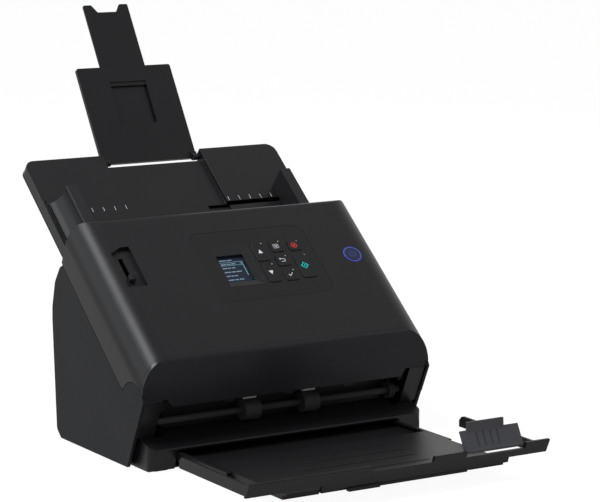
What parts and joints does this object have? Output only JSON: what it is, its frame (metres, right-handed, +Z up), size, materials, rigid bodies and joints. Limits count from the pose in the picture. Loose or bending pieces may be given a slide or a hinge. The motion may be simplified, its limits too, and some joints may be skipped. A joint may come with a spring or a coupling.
{
  "type": "document scanner",
  "caption": "Desktop sheet-fed document scanner with sloping control panel, feed tray with sliding guides, paper support and pull-out eject tray.",
  "frame": {"origin": "centre of the overall box on the desk", "axes": "+X to the right, -Y towards the front, +Z up"},
  "size_m": [0.294, 0.5182, 0.3708],
  "materials": {
    "black_case": "fine texture",
    "black_gloss": "glossy",
    "panel_black": "smooth",
    "screen_glass": "clear",
    "button_blue": "glossy",
    "light_blue": "translucent",
    "board_green": "satin",
    "lever_grey": "smooth",
    "guide_black": "smooth",
    "sensor_black": "smooth",
    "clear_glass": "clear",
    "roller_rubber": "matte",
    "roller_plastic": "smooth",
    "side_black": "fine texture",
    "steel_pin": "brushed",
    "foot_rubber": "matte",
    "sheet_metal": "galvanised",
    "connector_metal": "plain",
    "motor_metal": "plain",
    "pulley_metal": "machined",
    "belt_rubber": "matte",
    "side_guide": "smooth",
    "tray_black": "smooth",
    "stopper_grey": "smooth",
    "key_black": "satin",
    "key_grey": "satin"
  },
  "bodies": {
    "base": {"right_side_cover": "side_black", "left_side_cover": "side_black", "right_pillar": "black_case", "left_pillar": "black_case", "hinge_pins": "steel_pin", "exit_shelf": "black_case", "base_pan": "guide_black", "rubber_feet": "foot_rubber", "base_screws": "steel_pin", "middle_deck": "sheet_metal", "right_frame": "sheet_metal", "left_frame": "sheet_metal", "rear_cover": "side_black", "dc_inlet": "guide_black", "usb_port": "connector_metal", "main_board": "board_green", "drive_motor": "motor_metal", "main_belt": "belt_rubber", "eject_belt": "belt_rubber", "lower_guide": "guide_black", "lower_image_sensor": "sensor_black", "lower_sensor_glass": "clear_glass", "feed_tray": "black_case", "feed_tray_back": "side_black"},
    "front_unit": {"front_cover": "black_case", "front_lower_cover": "black_gloss", "control_panel": "panel_black", "screen_module": "black_gloss", "screen_window": "screen_glass", "power_light_ring": "light_blue", "panel_board": "board_green", "front_inner_guide": "guide_black", "upper_image_sensor": "sensor_black", "upper_sensor_glass": "clear_glass"},
    "up_key": {"up_key": "key_black"},
    "down_key": {"down_key": "key_black"},
    "menu_key": {"menu_key": "key_black"},
    "stop_key": {"stop_key": "key_black"},
    "back_key": {"back_key": "key_black"},
    "ok_key": {"ok_key": "key_black"},
    "start_key": {"start_key": "key_grey"},
    "power_button": {"power_button": "button_blue"},
    "feed_mode_lever": {"feed_mode_lever": "lever_grey"},
    "separation_arm": {"separation_arm": "lever_grey"},
    "separation_roller": {"separation_roller": "roller_rubber"},
    "upper_pinch_rollers": {"upper_pinch_rollers": "roller_plastic"},
    "eject_pinch_rollers": {"eject_pinch_rollers": "roller_plastic"},
    "motor_pulley": {"motor_pulley": "pulley_metal"},
    "feed_roller": {"feed_roller": "roller_rubber"},
    "drive_roller": {"drive_roller": "roller_rubber"},
    "eject_roller": {"eject_roller": "roller_rubber"},
    "left_guide": {"left_guide": "side_guide"},
    "right_guide": {"right_guide": "side_guide"},
    "guide_pinion": {"guide_pinion": "roller_plastic"},
    "feed_support": {"feed_support": "black_case"},
    "feed_support_extension": {"feed_support_extension": "black_case"},
    "eject_tray": {"eject_tray": "tray_black"},
    "eject_tray_frame": {"eject_tray_frame": "tray_black"},
    "eject_extension": {"eject_extension": "tray_black"},
    "eject_stopper": {"eject_stopper": "stopper_grey"}
  },
  "joints": [
    {"name": "front_unit_hinge", "type": "hinge", "parent": "base", "child": "front_unit", "pos_m": [0, -0.064, 0.056], "axis": [1, 0, 0], "range_deg": [0, 50]},
    {"name": "up_key_press", "type": "slide", "parent": "front_unit", "child": "up_key", "axis": [0, 0.6307, -0.776], "range_m": [0, 0.0008], "stiffness_N_per_m": 600, "springref_m": -0.0006},
    {"name": "down_key_press", "type": "slide", "parent": "front_unit", "child": "down_key", "axis": [0, 0.6307, -0.776], "range_m": [0, 0.0008], "stiffness_N_per_m": 600, "springref_m": -0.0006},
    {"name": "menu_key_press", "type": "slide", "parent": "front_unit", "child": "menu_key", "axis": [0, 0.6307, -0.776], "range_m": [0, 0.0008], "stiffness_N_per_m": 600, "springref_m": -0.0006},
    {"name": "stop_key_press", "type": "slide", "parent": "front_unit", "child": "stop_key", "axis": [0, 0.6307, -0.776], "range_m": [0, 0.0008], "stiffness_N_per_m": 600, "springref_m": -0.0006},
    {"name": "back_key_press", "type": "slide", "parent": "front_unit", "child": "back_key", "axis": [0, 0.6307, -0.776], "range_m": [0, 0.0008], "stiffness_N_per_m": 600, "springref_m": -0.0006},
    {"name": "ok_key_press", "type": "slide", "parent": "front_unit", "child": "ok_key", "axis": [0, 0.6307, -0.776], "range_m": [0, 0.0008], "stiffness_N_per_m": 600, "springref_m": -0.0006},
    {"name": "start_key_press", "type": "slide", "parent": "front_unit", "child": "start_key", "axis": [0, 0.6307, -0.776], "range_m": [0, 0.0008], "stiffness_N_per_m": 600, "springref_m": -0.0006},
    {"name": "power_button_press", "type": "slide", "parent": "front_unit", "child": "power_button", "axis": [0, 0.6307, -0.776], "range_m": [0, 0.0008], "stiffness_N_per_m": 600, "springref_m": -0.0006},
    {"name": "feed_mode_lever_turn", "type": "hinge", "parent": "front_unit", "child": "feed_mode_lever", "pos_m": [-0.1158, 0.01968, 0.13807], "axis": [1, 0, 0], "range_deg": [-40, 0]},
    {"name": "separation_arm_swing", "type": "hinge", "parent": "front_unit", "child": "separation_arm", "pos_m": [0, -0.00152, 0.12213], "axis": [1, 0, 0], "range_deg": [0, 4], "stiffness_Nm_per_rad": 0.6, "springref_deg": -5.73},
    {"name": "separation_roller_spin", "type": "hinge", "parent": "separation_arm", "child": "separation_roller", "pos_m": [0, 0.02388, 0.13369], "axis": [1, 0, 0], "continuous": true},
    {"name": "upper_pinch_spin", "type": "hinge", "parent": "front_unit", "child": "upper_pinch_rollers", "pos_m": [0, -0.00364, 0.10572], "axis": [1, 0, 0], "continuous": true},
    {"name": "eject_pinch_spin", "type": "hinge", "parent": "front_unit", "child": "eject_pinch_rollers", "pos_m": [0, -0.062, 0.0519], "axis": [1, 0, 0], "continuous": true},
    {"name": "drive_roller_spin", "type": "hinge", "parent": "base", "child": "drive_roller", "pos_m": [0, 0.00601, 0.09385], "axis": [1, 0, 0], "continuous": true},
    {"name": "feed_roller_spin", "type": "hinge", "parent": "base", "child": "feed_roller", "pos_m": [0, 0.03732, 0.11716], "axis": [1, 0, 0], "continuous": true},
    {"name": "eject_roller_spin", "type": "hinge", "parent": "base", "child": "eject_roller", "pos_m": [0, -0.062, 0.0396], "axis": [1, 0, 0], "continuous": true},
    {"name": "motor_spin", "type": "hinge", "parent": "base", "child": "motor_pulley", "pos_m": [0.132, 0.03, 0.052], "axis": [1, 0, 0], "continuous": true},
    {"name": "left_guide_slide", "type": "slide", "parent": "base", "child": "left_guide", "axis": [1, 0, 0], "range_m": [0, 0.075]},
    {"name": "right_guide_slide", "type": "slide", "parent": "base", "child": "right_guide", "axis": [-1, 0, 0], "range_m": [0, 0.075]},
    {"name": "guide_pinion_turn", "type": "hinge", "parent": "base", "child": "guide_pinion", "pos_m": [0, 0.10674, 0.17919], "axis": [0, -0.6307, 0.776], "range_deg": [-2, 540]},
    {"name": "feed_support_fold", "type": "hinge", "parent": "base", "child": "feed_support", "pos_m": [0, 0.16711, 0.23018], "axis": [-1, 0, 0], "range_deg": [-135, 0]},
    {"name": "feed_support_extension_slide", "type": "slide", "parent": "feed_support", "child": "feed_support_extension", "axis": [0, 0.5255, 0.8508], "range_m": [-0.06, 0]},
    {"name": "eject_tray_slide", "type": "slide", "parent": "base", "child": "eject_tray", "axis": [0, -1, 0], "range_m": [-0.084, 0]},
    {"name": "eject_tray_frame_slide", "type": "slide", "parent": "eject_tray", "child": "eject_tray_frame", "axis": [0, -1, 0], "range_m": [-0.082, 0]},
    {"name": "eject_extension_slide", "type": "slide", "parent": "eject_tray_frame", "child": "eject_extension", "axis": [0, -1, 0], "range_m": [0, 0.085]},
    {"name": "eject_stopper_fold", "type": "hinge", "parent": "eject_tray_frame", "child": "eject_stopper", "pos_m": [0.0925, -0.2546, 0.0292], "axis": [1, 0, 0], "range_deg": [-62, 0]}
  ],
  "couplings": [
    {"joint": "right_guide_slide", "follows": "left_guide_slide", "ratio": 1},
    {"joint": "guide_pinion_turn", "follows": "left_guide_slide", "rad_per_m": 125},
    {"joint": "feed_roller_spin", "follows": "motor_spin", "ratio": 1},
    {"joint": "drive_roller_spin", "follows": "motor_spin", "ratio": 1},
    {"joint": "eject_roller_spin", "follows": "motor_spin", "ratio": 1},
    {"joint": "upper_pinch_spin", "follows": "motor_spin", "ratio": -2},
    {"joint": "eject_pinch_spin", "follows": "motor_spin", "ratio": -3},
    {"joint": "separation_roller_spin", "follows": "motor_spin", "ratio": -1.3333}
  ]
}
